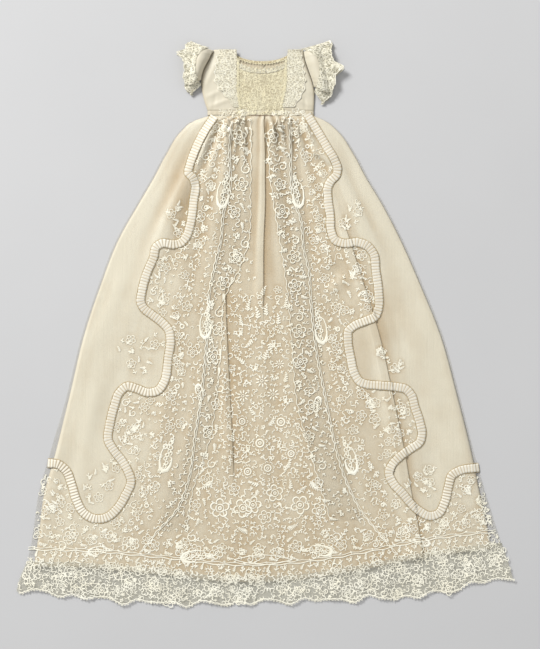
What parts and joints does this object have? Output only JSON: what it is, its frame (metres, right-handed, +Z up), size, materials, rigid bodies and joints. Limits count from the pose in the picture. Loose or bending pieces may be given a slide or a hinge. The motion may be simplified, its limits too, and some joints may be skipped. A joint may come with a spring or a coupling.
{
  "type": "christening gown",
  "caption": "Long baby's gown of satin under lace net, high-waisted, with puffed sleeves and meandering pleated ribbons, laid flat on its back.",
  "frame": {"origin": "centre of the laid gown's bounding box, on the surface that it lies on", "axes": "+X to the gown's pictured right, +Y from the hem towards the neck, +Z up off the surface"},
  "size_m": [0.8899, 1.0111, 0.022],
  "materials": {
    "skirt_satin": "ivory silk satin, soft sheen",
    "net": "sheer machine-made cotton net, matt",
    "lace": "off-white needle lace on net, matt",
    "ribbon": "cream silk ribbon in fine pleats",
    "bodice_satin": "cream silk satin, lined, soft sheen",
    "plastron_lace": "dense yellowed lace, matt"
  },
  "bodies": {
    "root": {"overskirt_back": "net", "overskirt_front": "net", "skirt_back": "skirt_satin", "skirt_front": "skirt_satin", "hem_lace_back": "lace", "hem_lace_front": "lace", "lace_band_left": "lace", "lace_band_right": "lace", "ribbon_left": "ribbon", "ribbon_right": "ribbon", "waistband_back": "bodice_satin", "waistband_front": "bodice_satin", "bodice_back_left": "bodice_satin", "bodice_back_right": "bodice_satin", "bodice_side_left": "bodice_satin", "bodice_side_right": "bodice_satin", "plastron": "plastron_lace", "bertha_left": "lace", "bertha_right": "lace", "neck_frill_front": "plastron_lace", "neck_frill_back": "plastron_lace", "sleeve_left": "bodice_satin", "sleeve_right": "bodice_satin", "cuff_frill_left": "lace", "cuff_frill_right": "lace"}
  },
  "joints": []
}
